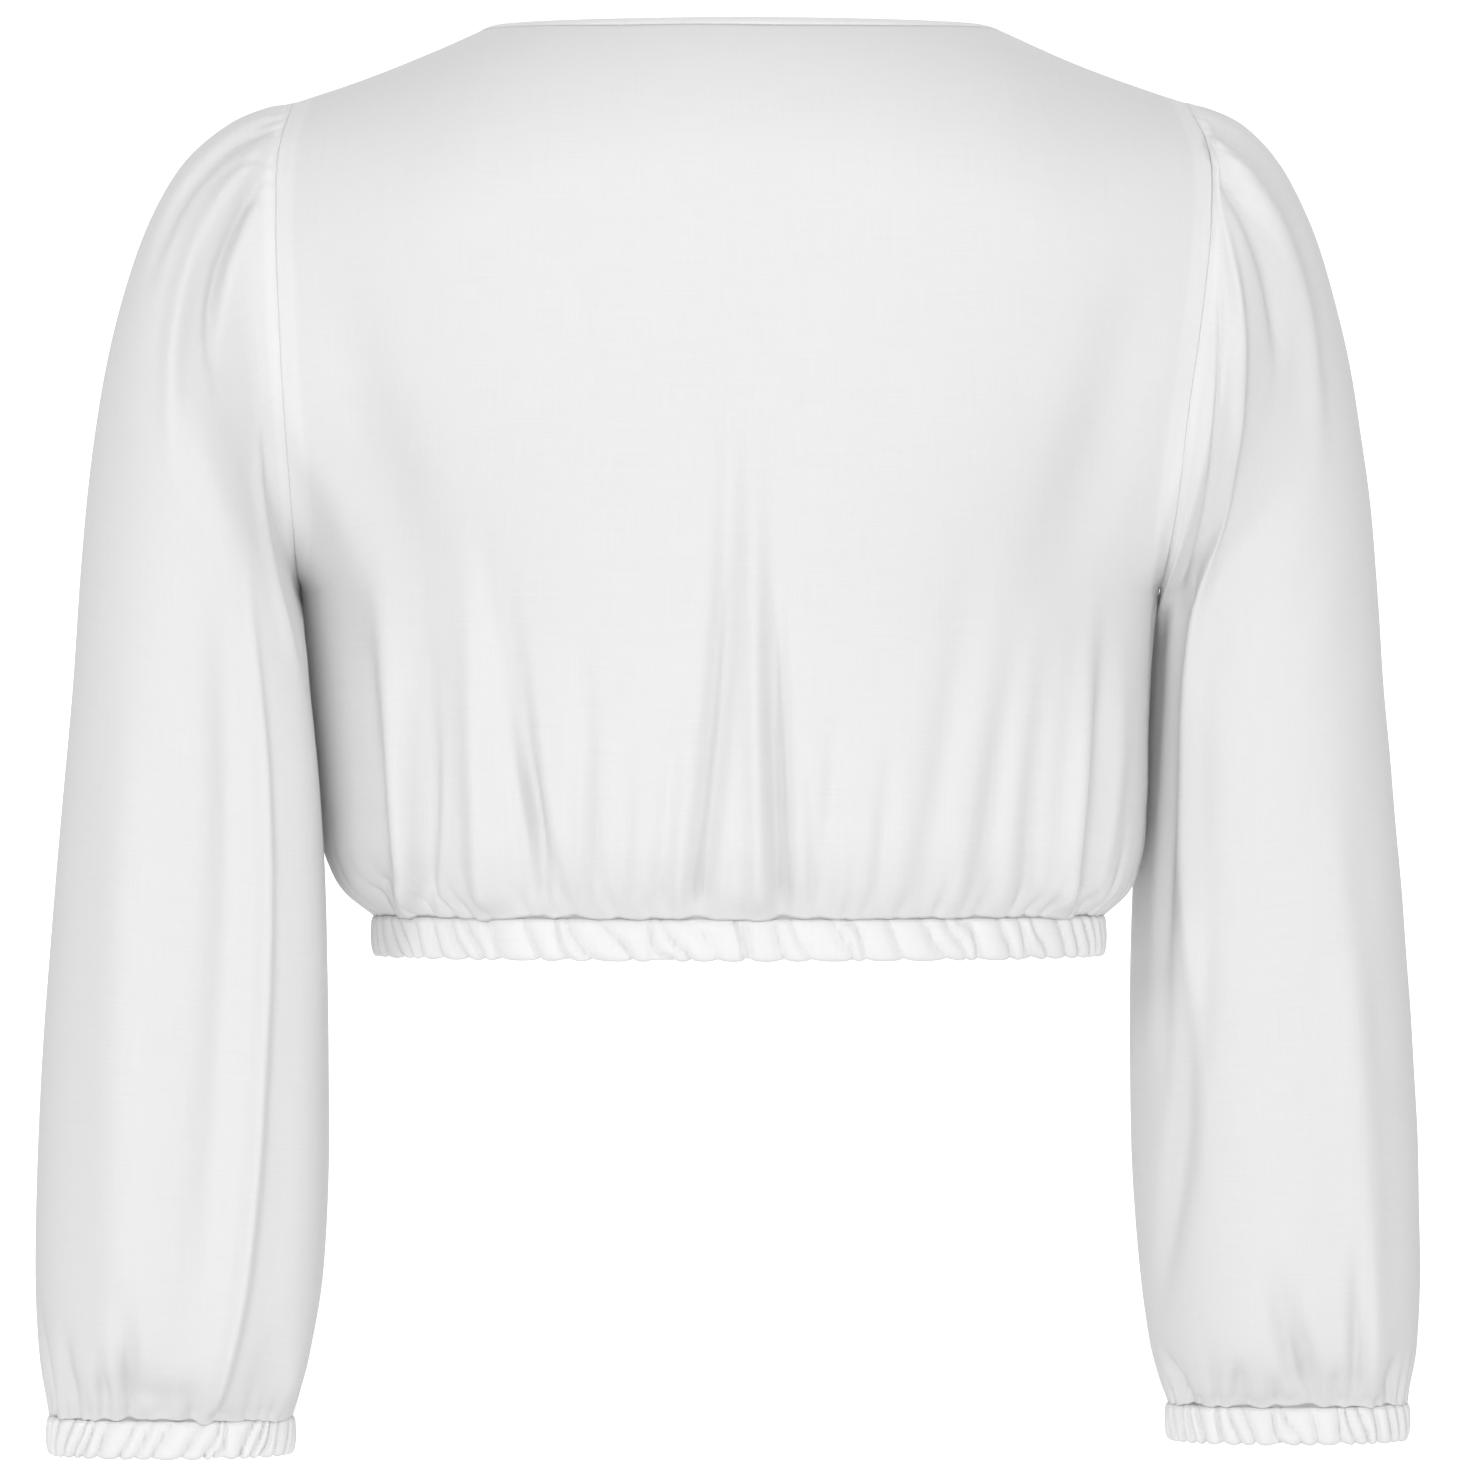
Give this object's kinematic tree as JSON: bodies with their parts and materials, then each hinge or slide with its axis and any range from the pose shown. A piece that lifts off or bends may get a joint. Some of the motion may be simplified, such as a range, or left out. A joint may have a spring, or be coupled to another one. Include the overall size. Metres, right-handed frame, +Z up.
{
  "type": "dirndl blouse",
  "caption": "Cropped white cotton dirndl blouse with long balloon sleeves, elastic cuffs and an elastic hem, hollow as worn.",
  "frame": {"origin": "midway between the two shoulder seams, level with their neck ends, where the wearer's shoulders hold the blouse up", "axes": "+Z up; the front faces -Y and the back +Y; +X is the wearer's left"},
  "size_m": [0.5872, 0.2651, 0.602],
  "materials": {
    "body_cloth": "matt woven cotton, slightly see-through",
    "casing_cloth": "the same cotton, double over elastic"
  },
  "bodies": {
    "root": {"back": "body_cloth", "front": "body_cloth", "sleeve_left": "body_cloth", "sleeve_right": "body_cloth", "hem_casing": "casing_cloth", "cuff_left": "casing_cloth", "cuff_right": "casing_cloth", "neck_binding": "casing_cloth"}
  },
  "joints": []
}
